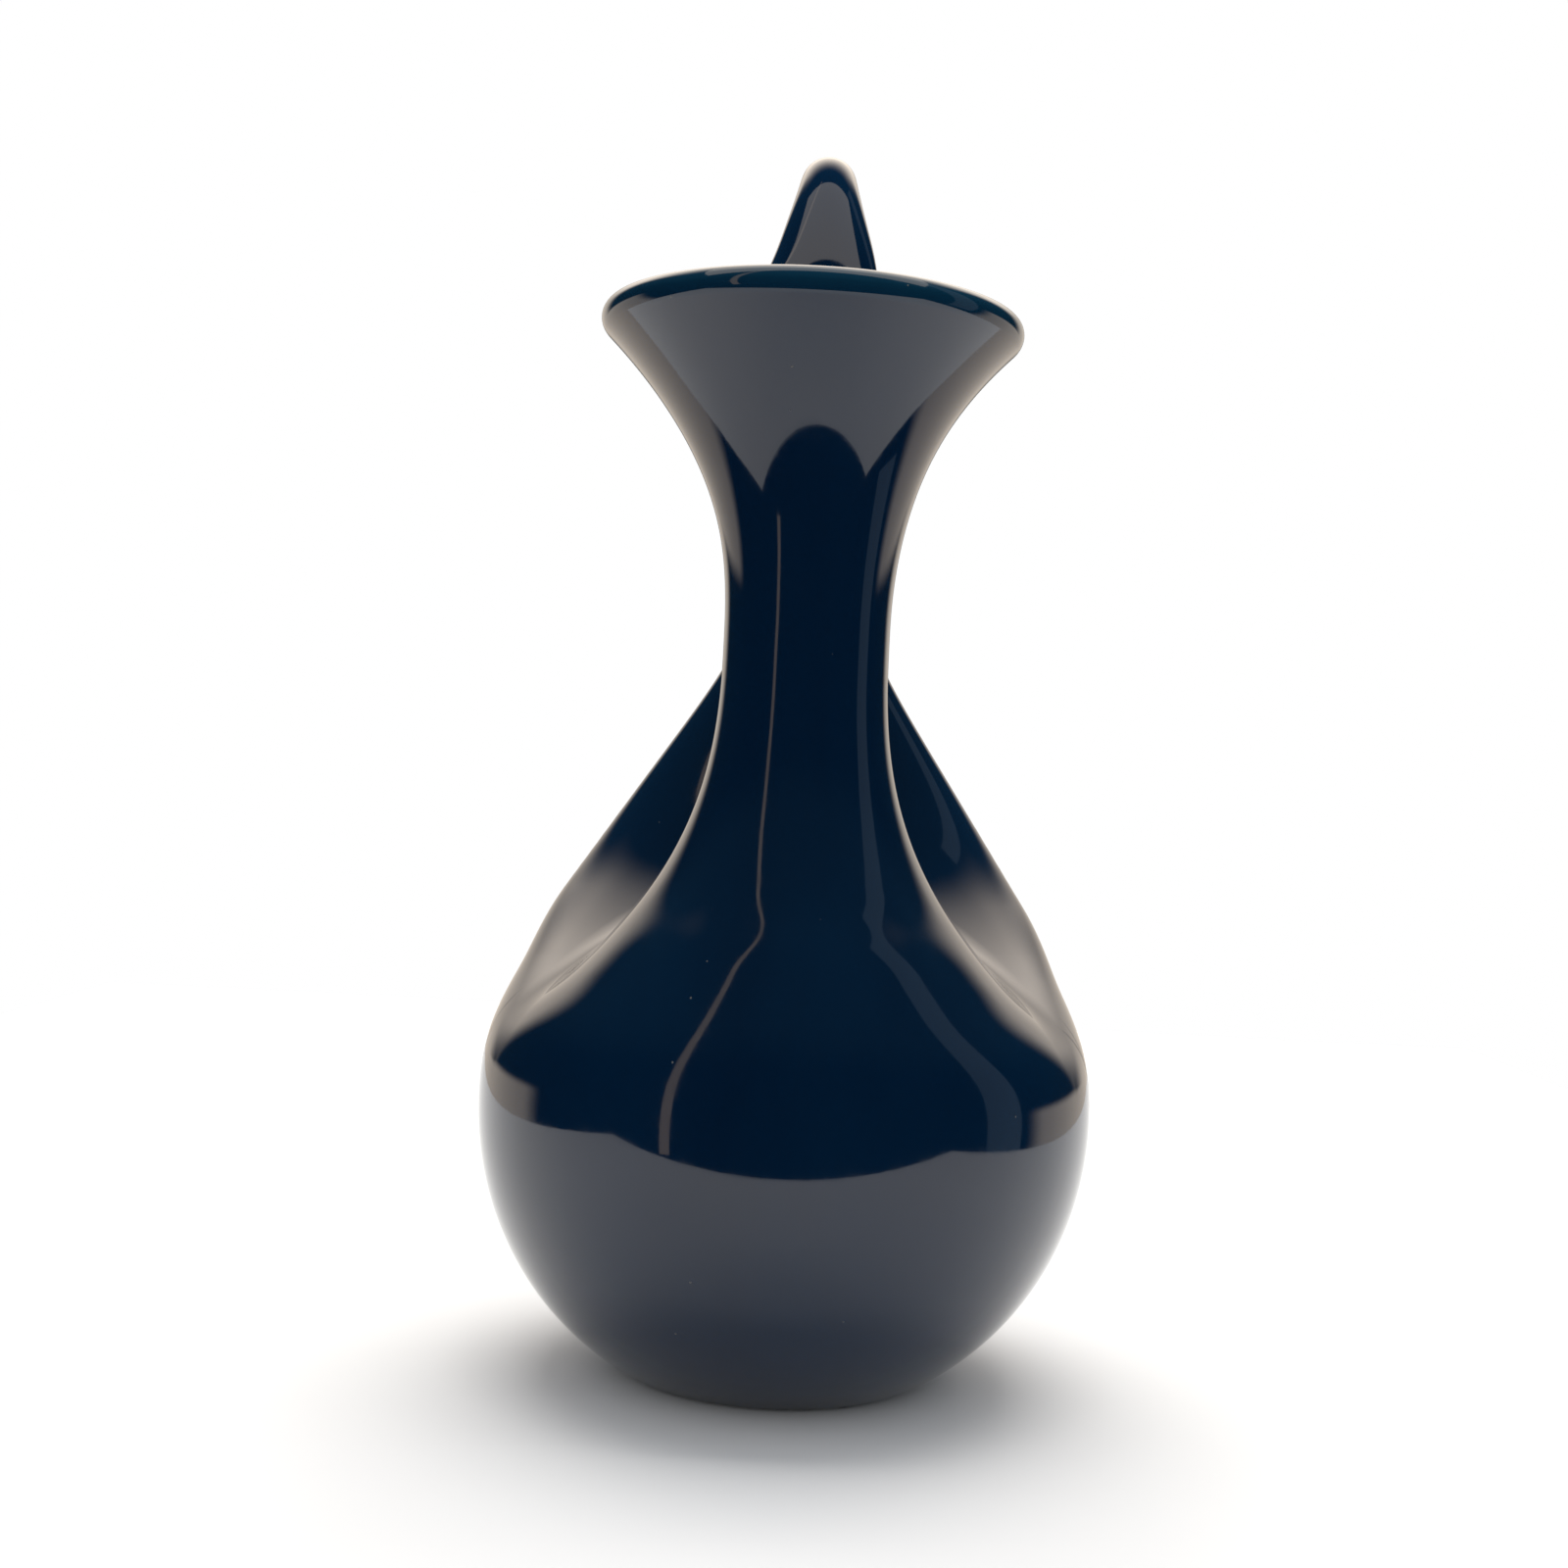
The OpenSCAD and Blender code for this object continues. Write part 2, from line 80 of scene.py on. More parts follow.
def norm(v):
    return v / np.maximum(np.linalg.norm(v, axis=-1, keepdims=True), 1e-12)


# ---------------------------------------------------------------- profiles
def oval_bowl(z, r):
    """Radius of the lower half, a little fuller than a sphere."""
    u = np.clip((BELLY_Z - z) / r, 0.0, 0.9999)
    return r * (1 - u**FULL) ** (1 / FULL)


def ball_r(z):
    u = (z - BELLY_Z) / BELLY_R
    up = BELLY_R * np.sqrt(np.maximum(0.02, 1 - u * u))
    return np.where(u > 0, up, oval_bowl(z, BELLY_R))


def bell_r(z):
    return WAIST_R + (SPREAD * BELLY_R - WAIST_R) * (np.maximum(WAIST_Z - z, 0) / RISE) ** BELL_POWER


def trumpet_r(z):
    return WAIST_R + (FLARE_R - WAIST_R) * (np.maximum(z - WAIST_Z, 0) / (LIP_Z - WAIST_Z)) ** FLARE_POWER


def neck_r(z):
    return np.where(z < WAIST_Z, bell_r(z), trumpet_r(z))


def soft_min(a, b, n):
    return (a**-n + b**-n) ** (-1 / n)


def leave_ball(z, lobe, n):
    """The ball below, passing softly into a lobe above."""
    b = ball_r(z)
    return mix(mix(b, soft_min(b, lobe, n), window(z, 0, 0.3)), lobe, window(z, 0.3, 0.5))


def front_r(z):
    return leave_ball(z, bell_r(z), 8.0)


def front_y(z):
    return front_r(z) - mix(ball_r(z), NECK_Y + bell_r(z), window(z, 0.3, 0.5))


COWL_TURN, COWL_TOP, COWL_BOW = 0.08 * RISE, at(1.04), 0.9
COWL_GAIN = (0.832 * BELLY_R - STRAP_W) / (COWL_TOP - at(0.407)) ** COWL_BOW


def cowl_half_w(z):
    x = (COWL_TOP - z) / COWL_TURN
    return STRAP_W + COWL_GAIN * (COWL_TURN * np.logaddexp(0.0, x)) ** COWL_BOW


def cowl_thick(z):
    return STRAP_T + (COWL_ROOT_T - STRAP_T) * np.exp((COLLAR_Z - z) / (0.212 * RISE))


def back_half_w(z):
    return mix(ball_r(z), cowl_half_w(z), window(z, 0.23, 0.44))


def back_half_t(z):
    return leave_ball(z, cowl_thick(z), 4.0)


def back_y(z):
    d = BELLY_R - BACK_Y
    return BACK_Y + d * np.exp(-((z - BELLY_Z) ** 2) / (2 * d * BELLY_R)) - back_half_t(z)


def shoulder_gap(x, y, z):
    """Distance outside the neck lobe and the cowl lobe, blended where they meet."""
    f = np.hypot(x, y - front_y(z)) - front_r(z)
    a, b, v = back_half_w(z), back_half_t(z), y - back_y(z)
    k0, k1 = np.hypot(x / a, v / b), np.hypot(x / (a * a), v / (b * b))
    g = np.where(k1 < 1e-9, -np.minimum(a, b), k0 * (k0 - 1) / np.maximum(k1, 1e-9))
    k = REACH * window(z, 0.08, 0.42) + 0.001
    h = np.maximum(0, k - np.abs(f - g)) / k
    return np.minimum(f, g) - h * h * k / 4


def shoulder_normal(p):
    e = 0.02
    x, y, z = p[..., 0], p[..., 1], p[..., 2]
    g = [
        shoulder_gap(x + e, y, z) - shoulder_gap(x - e, y, z),
        shoulder_gap(x, y + e, z) - shoulder_gap(x, y - e, z),
        shoulder_gap(x, y, z + e) - shoulder_gap(x, y, z - e),
    ]
    return norm(np.stack(g, -1))


def lean(p, n):
    """The mouth drifts a little to one side of the neck; points and normals follow."""
    y, z = p[..., 1], p[..., 2]

    def g(y, z):
        return (
            MOUTH_DRIFT
            * ease((z - 190) / 64)
            * (1 - ease((z - 258) / 30))
            * (1 - ease((y - 33) / 12))
        )

    e = 0.05
    gy, gz = (g(y + e, z) - g(y - e, z)) / (2 * e), (g(y, z + e) - g(y, z - e)) / (2 * e)
    q = p.copy()
    q[..., 0] += g(y, z)
    m = n.copy()
    m[..., 1] -= gy * n[..., 0]
    m[..., 2] -= gz * n[..., 0]
    return q, norm(m)


# ---------------------------------------------------------------- mesh building
def strip(a, b):
    """A patch of two rings with its own crisp normals."""
    t = np.roll(a, -1, 0) - np.roll(a, 1, 0)
    n = norm(np.cross(t, b - a + 1e-9 * (a - a.mean(0))))
    return np.stack([a, b]), np.stack([n, n])


def cap_normal(ring):
    third, two_thirds = len(ring) // 3, 2 * len(ring) // 3
    return norm(np.cross(ring[third] - ring[0], ring[two_thirds] - ring[0]))


def piece(name, patches, mats, loop=False, caps=(False, False)):
    """patches: (P, N, material index) rows of rings; each starts on the ring where the last ended."""
    rows, face_i, norms, mat = [], [], [], []
    for k, (p, n, m) in enumerate(patches):
        p, n = lean(np.asarray(p, float), np.asarray(n, float))
        start = len(rows) if k == 0 else len(rows) - 1
        rows.extend(p if k == 0 else p[1:])
        last = k == len(patches) - 1
        count = len(p)
        for i in range(count - 1):
            a, b = start + i, start + i + 1
            if loop and last and i == count - 2:
                b = 0
            face_i.append((a, b))
            norms.append((n[i], n[i + 1]))
            mat.append(m)
    if loop:
        rows.pop()
    v = np.stack(rows)
    c = v.shape[1]
    j = np.arange(c)
    j1 = (j + 1) % c
    quads, nrm, mats_of = [], [], []
    for (a, b), (na, nb), m in zip(face_i, norms, mat):
        quads.append(np.stack([a * c + j, a * c + j1, b * c + j1, b * c + j], 1))
        nrm.append(np.stack([na[j], na[j1], nb[j1], nb[j]], 1))
        mats_of.append(np.full(c, m))
    quads, nrm, mats_of = np.concatenate(quads), np.concatenate(nrm), np.concatenate(mats_of)
    faces = quads.tolist()
    loop_n = nrm.reshape(-1, 3)
    verts = v.reshape(-1, 3)
    mats_of = mats_of.tolist()
    if caps[0]:
        faces.append(list(range(c - 1, -1, -1)))
        loop_n = np.concatenate([loop_n, np.broadcast_to(-cap_normal(rows[0]), (c, 3))])
        mats_of.append(patches[0][2])
    if caps[1]:
        base = (len(rows) - 1) * c
        faces.append(list(range(base, base + c)))
        loop_n = np.concatenate([loop_n, np.broadcast_to(cap_normal(rows[-1]), (c, 3))])
        mats_of.append(patches[-1][2])
    mesh = bpy.data.meshes.new(name)
    mesh.from_pydata((verts * 0.001).tolist(), [], faces)
    mesh.polygons.foreach_set("use_smooth", [True] * len(faces))
    mesh.polygons.foreach_set("material_index", mats_of)
    for m in mats:
        mesh.materials.append(m)
    mesh.update()
    face_n = np.empty(len(faces) * 3)
    mesh.polygons.foreach_get("normal", face_n)
    got = (face_n.reshape(-1, 3)[: len(quads)] * nrm[:, 0]).sum(1)
    mesh.normals_split_custom_set(loop_n.tolist())
    ob = bpy.data.objects.new(name, mesh)
    bpy.context.scene.collection.objects.link(ob)
    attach(ob, "root")
    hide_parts(name.replace("_look", ""))
    print("piece", name, len(faces), "facing %.4f" % float((got > 0).mean()))
    return ob


def turn(profile, y0, cols=224, out=1.0):
    """Rings and normals of a turned profile of (r, z) rows about a vertical axis."""
    pr = np.asarray(profile, float)
    t = np.gradient(pr, axis=0, edge_order=2 if len(pr) > 2 else 1)
    n2 = norm(np.stack([t[:, 1], -t[:, 0]], 1)) * out
    a = np.linspace(0, 2 * math.pi, cols, endpoint=False)
    c, s = np.cos(a), np.sin(a)
    p = np.stack(
        [pr[:, :1] * c, pr[:, :1] * s + y0, np.broadcast_to(pr[:, 1:], (len(pr), cols))], -1
    )
    n = np.stack(
        [n2[:, :1] * c, n2[:, :1] * s, np.broadcast_to(n2[:, 1:], (len(pr), cols))], -1
    )
    return p, n


def profile(fn, z0, z1, rows, off=0.0):
    """Evenly spaced (r, z) rows of a radius function."""
    z = np.linspace(z0, z1, rows)
    return np.stack([fn(z) + off, z], 1)


def turned(fn, z0, z1, rows, y0, off=0.0, out=1.0, cols=224):
    """Turned patch whose end normals are taken from the function, not from its cut end."""
    e = (z1 - z0) / (rows - 1)
    pr = profile(fn, z0 - e, z1 + e, rows + 2, off)
    p, n = turn(pr, y0, cols, out)
    return p[1:-1], n[1:-1]


# ---------------------------------------------------------------- materials
def nodes_of(m):
    m.use_nodes = True
    nt = m.node_tree
    nt.nodes.clear()
    return nt, nt.links


def add(nt, kind, **inputs):
    n = nt.nodes.new(kind)
    for k, v in inputs.items():
        if k in n.inputs:
            n.inputs[k].default_value = v
        else:
            setattr(n, k, v)
    return n


def ramp(nt, src, stops, mode="LINEAR"):
    n = nt.nodes.new("ShaderNodeValToRGB")
    n.color_ramp.interpolation = mode
    els = n.color_ramp.elements
    while len(els) < len(stops):
        els.new(0.5)
    for e, (p, c) in zip(els, stops):
        e.position = p
        e.color = c if len(c) == 4 else (*c, 1)
    nt.links.new(src, n.inputs[0])
    return n.outputs[0]


def grey(v):
    return (v, v, v, 1)


def glaze(name, deep, shallow, thin, thin_low, thin_high):
    """Glossy dark glaze; thin is its colour above the height thin_low to thin_high, in metres."""
    m = bpy.data.materials.new(name)
    nt, lk = nodes_of(m)
    out = add(nt, "ShaderNodeOutputMaterial")
    bs = add(nt, "ShaderNodeBsdfPrincipled")
    bs.inputs["IOR"].default_value = 1.5
    bs.inputs["Coat Weight"].default_value = 0.35
    bs.inputs["Coat Roughness"].default_value = 0.02
    bs.inputs["Coat IOR"].default_value = 1.5
    lk.new(bs.outputs[0], out.inputs[0])
    tc = add(nt, "ShaderNodeTexCoord")
    # slow pooling of the glaze
    big = add(nt, "ShaderNodeTexNoise", Scale=14.0, Detail=4.0, Roughness=0.55, Distortion=0.6)
    stretch = add(nt, "ShaderNodeMapping")
    stretch.inputs["Scale"].default_value = (1.0, 1.0, 0.35)
    lk.new(tc.outputs["Object"], stretch.inputs[0])
    lk.new(stretch.outputs[0], big.inputs["Vector"])
    fine = add(nt, "ShaderNodeTexNoise", Scale=260.0, Detail=3.0, Roughness=0.6)
    lk.new(tc.outputs["Object"], fine.inputs["Vector"])
    body = ramp(nt, big.outputs[0], [(0.32, deep), (0.68, shallow)])
    # glaze breaks thinner and greener over the rolled lip
    sep = add(nt, "ShaderNodeSeparateXYZ")
    lk.new(tc.outputs["Object"], sep.inputs[0])
    band = add(nt, "ShaderNodeMapRange")
    band.inputs["From Min"].default_value = thin_low
    band.inputs["From Max"].default_value = thin_high
    lk.new(sep.outputs[2], band.inputs[0])
    wob = add(nt, "ShaderNodeMath", operation="MULTIPLY")
    lk.new(band.outputs[0], wob.inputs[0])
    lk.new(ramp(nt, big.outputs[0], [(0.3, grey(0.35)), (0.7, grey(1.0))]), wob.inputs[1])
    col = add(nt, "ShaderNodeMix", data_type="RGBA")
    lk.new(wob.outputs[0], col.inputs[0])
    lk.new(body, col.inputs[6])
    col.inputs[7].default_value = (*thin, 1)
    # sparse pale specks where bubbles broke in the kiln
    vor = add(nt, "ShaderNodeTexVoronoi", Scale=330.0, Randomness=1.0)
    lk.new(tc.outputs["Object"], vor.inputs["Vector"])
    dot = ramp(nt, vor.outputs["Distance"], [(0.0, grey(1)), (0.05, grey(1)), (0.09, grey(0))])
    pick = add(nt, "ShaderNodeSeparateColor")
    lk.new(vor.outputs["Color"], pick.inputs[0])
    rare = ramp(nt, pick.outputs[0], [(0.962, grey(0)), (0.968, grey(1))])
    speck = add(nt, "ShaderNodeMath", operation="MULTIPLY")
    lk.new(dot, speck.inputs[0])
    lk.new(rare, speck.inputs[1])
    col2 = add(nt, "ShaderNodeMix", data_type="RGBA")
    lk.new(speck.outputs[0], col2.inputs[0])
    lk.new(col.outputs[2], col2.inputs[6])
    col2.inputs[7].default_value = (0.12, 0.115, 0.10, 1)
    lk.new(col2.outputs[2], bs.inputs["Base Color"])
    rough = ramp(nt, fine.outputs[0], [(0.3, grey(0.045)), (0.75, grey(0.10))])
    r2 = add(nt, "ShaderNodeMath", operation="MULTIPLY_ADD")
    lk.new(speck.outputs[0], r2.inputs[0])
    r2.inputs[1].default_value = 0.4
    lk.new(rough, r2.inputs[2])
    lk.new(r2.outputs[0], bs.inputs["Roughness"])
    # the slow waver of a thrown wall, a faint orange peel, and the raised specks
    waver = add(nt, "ShaderNodeTexNoise", Scale=22.0, Detail=1.0, Roughness=0.4)
    squash = add(nt, "ShaderNodeMapping")
    squash.inputs["Scale"].default_value = (1.0, 1.0, 1.8)
    lk.new(tc.outputs["Object"], squash.inputs[0])
    lk.new(squash.outputs[0], waver.inputs["Vector"])
    peel = add(nt, "ShaderNodeTexNoise", Scale=420.0, Detail=1.0)
    lk.new(tc.outputs["Object"], peel.inputs["Vector"])
    b1 = add(nt, "ShaderNodeBump", Strength=1.0, Distance=0.00022)
    lk.new(waver.outputs[0], b1.inputs["Height"])
    b2 = add(nt, "ShaderNodeBump", Strength=1.0, Distance=0.000004)
    lk.new(peel.outputs[0], b2.inputs["Height"])
    lk.new(b1.outputs[0], b2.inputs["Normal"])
    b3 = add(nt, "ShaderNodeBump", Strength=1.0, Distance=0.00006)
    lk.new(speck.outputs[0], b3.inputs["Height"])
    lk.new(b2.outputs[0], b3.inputs["Normal"])
    lk.new(b3.outputs[0], bs.inputs["Normal"])
    return m


def clay(name):
    m = bpy.data.materials.new(name)
    nt, lk = nodes_of(m)
    out = add(nt, "ShaderNodeOutputMaterial")
    bs = add(nt, "ShaderNodeBsdfPrincipled")
    lk.new(bs.outputs[0], out.inputs[0])
    tc = add(nt, "ShaderNodeTexCoord")
    n1 = add(nt, "ShaderNodeTexNoise", Scale=60.0, Detail=6.0, Roughness=0.7)
    n2 = add(nt, "ShaderNodeTexNoise", Scale=900.0, Detail=3.0, Roughness=0.7)
    lk.new(tc.outputs["Object"], n1.inputs["Vector"])
    lk.new(tc.outputs["Object"], n2.inputs["Vector"])
    base = ramp(nt, n1.outputs[0], [(0.3, (0.33, 0.25, 0.17)), (0.7, (0.50, 0.41, 0.30))])
    grog = ramp(nt, n2.outputs[0], [(0.62, grey(0)), (0.70, grey(1))])
    c = add(nt, "ShaderNodeMix", data_type="RGBA")
    lk.new(grog, c.inputs[0])
    lk.new(base, c.inputs[6])
    c.inputs[7].default_value = (0.14, 0.09, 0.055, 1)
    lk.new(c.outputs[2], bs.inputs["Base Color"])
    lk.new(ramp(nt, n1.outputs[0], [(0.3, grey(0.7)), (0.7, grey(0.92))]), bs.inputs["Roughness"])
    # fine rings left by turning the foot
    w = add(nt, "ShaderNodeTexWave", Scale=180.0, Distortion=0.6, Detail=1.0)
    w.wave_type, w.rings_direction = "RINGS", "Z"
    lk.new(tc.outputs["Object"], w.inputs["Vector"])
    b1 = add(nt, "ShaderNodeBump", Strength=0.5, Distance=0.0001)
    lk.new(w.outputs[0], b1.inputs["Height"])
    b2 = add(nt, "ShaderNodeBump", Strength=0.7, Distance=0.0001)
    lk.new(n2.outputs[0], b2.inputs["Height"])
    lk.new(b1.outputs[0], b2.inputs["Normal"])
    lk.new(b2.outputs[0], bs.inputs["Normal"])
    return m


DEEP, SHALLOW = (0.0001, 0.0068, 0.0235), (0.0004, 0.0108, 0.0330)
BODY_THIN, LIP_THIN = (0.004, 0.017, 0.030), (0.003, 0.034, 0.064)
FAR_ABOVE = 9.0
GLAZE = glaze("dark_glaze", DEEP, SHALLOW, BODY_THIN, FAR_ABOVE, FAR_ABOVE + 0.1)
LIP_GLAZE = glaze("lip_glaze", DEEP, SHALLOW, LIP_THIN, 0.2480, 0.2530)
CLAY = clay("bare_clay")

# ---------------------------------------------------------------- foot and bowl
# the toe is an arc that touches the floor and runs on into the bowl
def ball_at(z):
    return float(ball_r(np.array(z)))


steep = math.atan((ball_at(TOE + 0.01) - ball_at(TOE - 0.01)) / 0.02)
bend = TOE / (1 - math.sin(steep))
toe_r = ball_at(TOE) - bend * math.cos(steep)
edge_a = -np.linspace(math.pi / 2, steep, 12)
edge = np.stack([toe_r + bend * np.cos(edge_a), bend + bend * np.sin(edge_a)], 1)
side = profile(ball_r, TOE, FOOT_H, 14)
sole = [(FOOT_BORE + 0.5, 0.0), (toe_r, 0.0)]
p0, n0 = turn(sole, 0, 160)
p1, n1 = turn(np.concatenate([edge, side[1:]]), 0, 160)
p0[1] = p1[0]
n0[:] = (0, 0, -1)
p2, n2 = turn([(side[-1][0], FOOT_H), (FOOT_BORE, FOOT_H)], 0, 160)
p3, n3 = turn([(FOOT_BORE, FOOT_H), (FOOT_BORE, 0.5)], 0, 160)
p4, n4 = turn([(FOOT_BORE, 0.5), (FOOT_BORE + 0.5, 0.0)], 0, 160)
foot = piece(
    "foot_ring_look",
    [(p0, n0, 1), (p1, n1, 0), (p2, n2, 1), (p3, n3, 1), (p4, n4, 1)],
    [GLAZE, CLAY],
    loop=True,
)

FLOOR_Z = FOOT_H + DISC_T
disc_r = float(oval_bowl(np.array(FLOOR_Z), BELLY_R - WALL)) - GAP
fb = FOOT_BORE - GAP
chain = [
    [(0.4, FOOT_RECESS), (fb - 6, FOOT_RECESS), (fb - 0.6, FOOT_RECESS)],
    [(fb - 0.6, FOOT_RECESS), (fb - 0.15, FOOT_RECESS + 0.2), (fb, FOOT_RECESS + 0.7)],
    [(fb, FOOT_RECESS + 0.7), (fb, FOOT_H)],
    [(fb, FOOT_H), (disc_r, FOOT_H)],
    [(disc_r, FOOT_H), (disc_r, FLOOR_Z)],
    [(disc_r, FLOOR_Z), (disc_r * 0.5, FLOOR_Z), (0.4, FLOOR_Z)],
]
base = piece(
    "base_disc_look",
    [(*turn(c, 0, 160), 1 if i < 5 else 0) for i, c in enumerate(chain)],
    [GLAZE, CLAY],
    caps=(True, True),
)

bowl_out = turned(ball_r, FOOT_H, BELLY_Z, 90, 0, cols=288)
# keep the upper end level with the shoulder's own first ring
bowl_out[1][-1][..., 2] = 0
bore = profile(lambda z: oval_bowl(z, BELLY_R - WALL), BELLY_Z, FLOOR_Z, 60)
bowl_in = turn(bore, 0, 288)
ledge = turn([(BELLY_R, BELLY_Z), (BELLY_R - WALL, BELLY_Z)], 0, 288)
under = turn([(disc_r + GAP, FLOOR_Z), (disc_r + GAP, FOOT_H)], 0, 288)
sit = turn([(disc_r + GAP, FOOT_H), (ball_at(FOOT_H), FOOT_H)], 0, 288)
bowl_in[0][-1] = under[0][0]
bowl_out[0][-1] = ledge[0][0]
bowl = piece(
    "lower_bowl_look",
    [(*bowl_out, 0), (*ledge, 1), (*bowl_in, 0), (*under, 1), (*sit, 1)],
    [GLAZE, CLAY],
    loop=True,
)

# the coil is a soft roll of clay pressed into the joint
ca = np.linspace(0, 2 * math.pi, 25)
coil_prof = np.stack([COIL_R + COIL_HALF_T * np.cos(ca), BELLY_Z + COIL_HALF_H * np.sin(ca)], 1)
cp, cn = turn(coil_prof, 0, 160)
coil = piece("belly_coil_look", [(cp, cn, 0)], [CLAY], loop=True)

# ---------------------------------------------------------------- shoulders
def bisect(test, lo, hi, n=40):
    for _ in range(n):
        m = (lo + hi) / 2
        out = test(m)
        hi = np.where(out, m, hi)
        lo = np.where(out, lo, m)
    return (lo + hi) / 2


def seam_line(x):
    return SEAM_Y - x * x / SEAM_F


def columns(py, level, side, seam_n, belly_n):
    """Directions from the lobe's axis, with the height and reach each column starts from."""
    corner = float(
        bisect(lambda m: np.hypot(m, seam_line(m)) > BELLY_R + level, np.array(0.0), np.array(BELLY_R))
    )
    i = np.arange(seam_n + 1)
    x = side * corner * np.cos(math.pi * i / seam_n)
    low = bisect(
        lambda m: shoulder_gap(x, seam_line(x), m) > level,
        np.full(x.shape, BELLY_Z),
        np.full(x.shape, COLLAR_Z),
    )
    low[0] = low[-1] = BELLY_Z
    to = np.stack([x, seam_line(x) - py], 1)
    e = (corner, seam_line(corner) - py)
    a = math.degrees(math.atan2(e[1], e[0]))
    frm, end = (180 - a, 360 + a) if side > 0 else (a, 180 - a)
    w = np.radians(mix(frm, end, np.arange(1, belly_n) / belly_n))
    d = np.concatenate([norm(to), np.stack([np.cos(w), np.sin(w)], 1)])
    low = np.concatenate([low, np.full(belly_n - 1, BELLY_Z)])
    far = np.concatenate([np.linalg.norm(to, axis=1), np.full(belly_n - 1, 1.6 * BELLY_R)])
    seam = np.concatenate([np.full(seam_n + 1, True), np.full(belly_n - 1, False)])
    return d, low, far, seam


def shoulder_rows(py, level, cols, v):
    d, low, far, seam = cols
    m = (low - BELLY_Z) / (COLLAR_Z - BELLY_Z)
    v = v[:, None]
    z = mix(low, COLLAR_Z, mix(v, v * v, m))
    dx, dy = d[:, 0], d[:, 1]
    r = bisect(
        lambda t: shoulder_gap(dx * t, py + dy * t, z) > level,
        np.zeros(z.shape),
        np.broadcast_to(far, z.shape).copy(),
    )
    r = np.where((v == 0) & seam, far, r)
    return np.stack([dx * r, py + dy * r, z], -1)


def shoulder(name, py, side, seam_n, belly_n, rows):
    co = columns(py, 0.0, side, seam_n, belly_n)
    ci = columns(py, -WALL, side, seam_n, belly_n)
    up = np.linspace(0, 1, rows) ** 1.15
    a = shoulder_rows(py, 0.0, co, up)
    b = shoulder_rows(py, -WALL, ci, np.linspace(1, 0, 30))
    top, bottom = strip(a[-1], b[0]), strip(b[-1], a[0])
    ob = piece(
        name,
        [(a, shoulder_normal(a), 0), (*top, 1), (b, -shoulder_normal(b), 0), (*bottom, 1)],
        [GLAZE, CLAY],
        loop=True,
    )


shoulder("front_shoulder_look", FRONT_P, 1, 150, 170, 110)
shoulder("back_shoulder_look", BACK_P, -1, 150, 200, 110)

# ---------------------------------------------------------------- neck, mouth and lip
def ring_faces(outer, inner, up):
    """A level end face between an outer and an inner ring."""
    n = np.zeros((2, outer.shape[0], 3))
    n[..., 2] = 1 if up else -1
    return (np.stack([outer, inner]) if up else np.stack([inner, outer])), n


no = turned(neck_r, COLLAR_Z, FLARE_Z, 100, -NECK_Y)
ni = turn(profile(neck_r, FLARE_Z, COLLAR_Z, 50, -WALL), -NECK_Y)
neck = piece(
    "neck_tube_look",
    [
        (*no, 0),
        (*ring_faces(no[0][-1], ni[0][0], True), 1),
        (*ni, 0),
        (*ring_faces(no[0][0], ni[0][-1], False), 1),
    ],
    [GLAZE, CLAY],
    loop=True,
)


def slope(z):
    tall = LIP_Z - WAIST_Z
    return FLARE_POWER * (FLARE_R - WAIST_R) / tall * ((z - WAIST_Z) / tall) ** (FLARE_POWER - 1)


def flare_inner(z):
    a = np.arctan(slope(z)) * ease((z - FLARE_Z) / 12)
    t = mix(WALL, LIP_T, ease((z - FLARE_Z) / (LIP_Z - FLARE_Z)))
    return np.stack([trumpet_r(z) - t * np.cos(a), z + t * np.sin(a)], -1)


fo = turned(trumpet_r, FLARE_Z, LIP_Z, 90, -NECK_Y)
fi_prof = flare_inner(np.linspace(LIP_Z, FLARE_Z, 70))
fi = turn(fi_prof, -NECK_Y)
ft = turn([(FLARE_R, LIP_Z), tuple(fi_prof[0])], -NECK_Y)
flare = piece(
    "mouth_flare_look",
    [(*fo, 0), (*ft, 1), (*fi, 0), (*ring_faces(fo[0][0], fi[0][-1], False), 1)],
    [GLAZE, CLAY],
    loop=True,
)

lip_o, lip_i = np.array([FLARE_R, LIP_Z]), flare_inner(np.array(LIP_Z))
lip_mid = (lip_o + lip_i) / 2
across = (lip_o - lip_i) / 2
along = np.array([-across[1], across[0]]) / np.hypot(*across) * LIP_L
la = np.linspace(0, math.pi, 41)
lip_prof = lip_mid + across * np.cos(la)[:, None] + along * np.sin(la)[:, None]
lp = turn(lip_prof, -NECK_Y)
lu = turn([tuple(lip_prof[-1]), tuple(lip_prof[0])], -NECK_Y)
lip = piece("lip_ring_look", [(*lp, 0), (*lu, 1)], [LIP_GLAZE, CLAY], loop=True)

# ---------------------------------------------------------------- handle
LOFT = 112
TH = np.linspace(0, 2 * math.pi, LOFT, endpoint=False)


def cowl_point(z, th, level=0.0, share=1.0):
    a, b = back_half_w(z), back_half_t(z)
    d = norm(np.stack(np.broadcast_arrays(a * np.cos(th), b * np.sin(th)), -1))
    c0 = np.hypot(d[..., 0] / a, d[..., 1] / b)
    c1 = np.hypot(d[..., 0] / (a * a), d[..., 1] / (b * b))
    r = share * (1 + level * c1 / c0) / c0
    return np.stack(np.broadcast_arrays(d[..., 0] * r, back_y(z) + d[..., 1] * r, z + 0 * r), -1)


def surface_normal(fn, u, th, du=0.02, dth=0.002):
    a = fn(u + du, th) - fn(u - du, th)
    b = fn(u, th + dth) - fn(u, th - dth)
    return norm(np.cross(b, a))


def station(z):
    """Middle, height, half width and half thickness of the cowl, as the strap takes them over."""
    h = np.array(z)
    return np.array([float(back_y(h)), z, float(back_half_w(h)), float(back_half_t(h))])


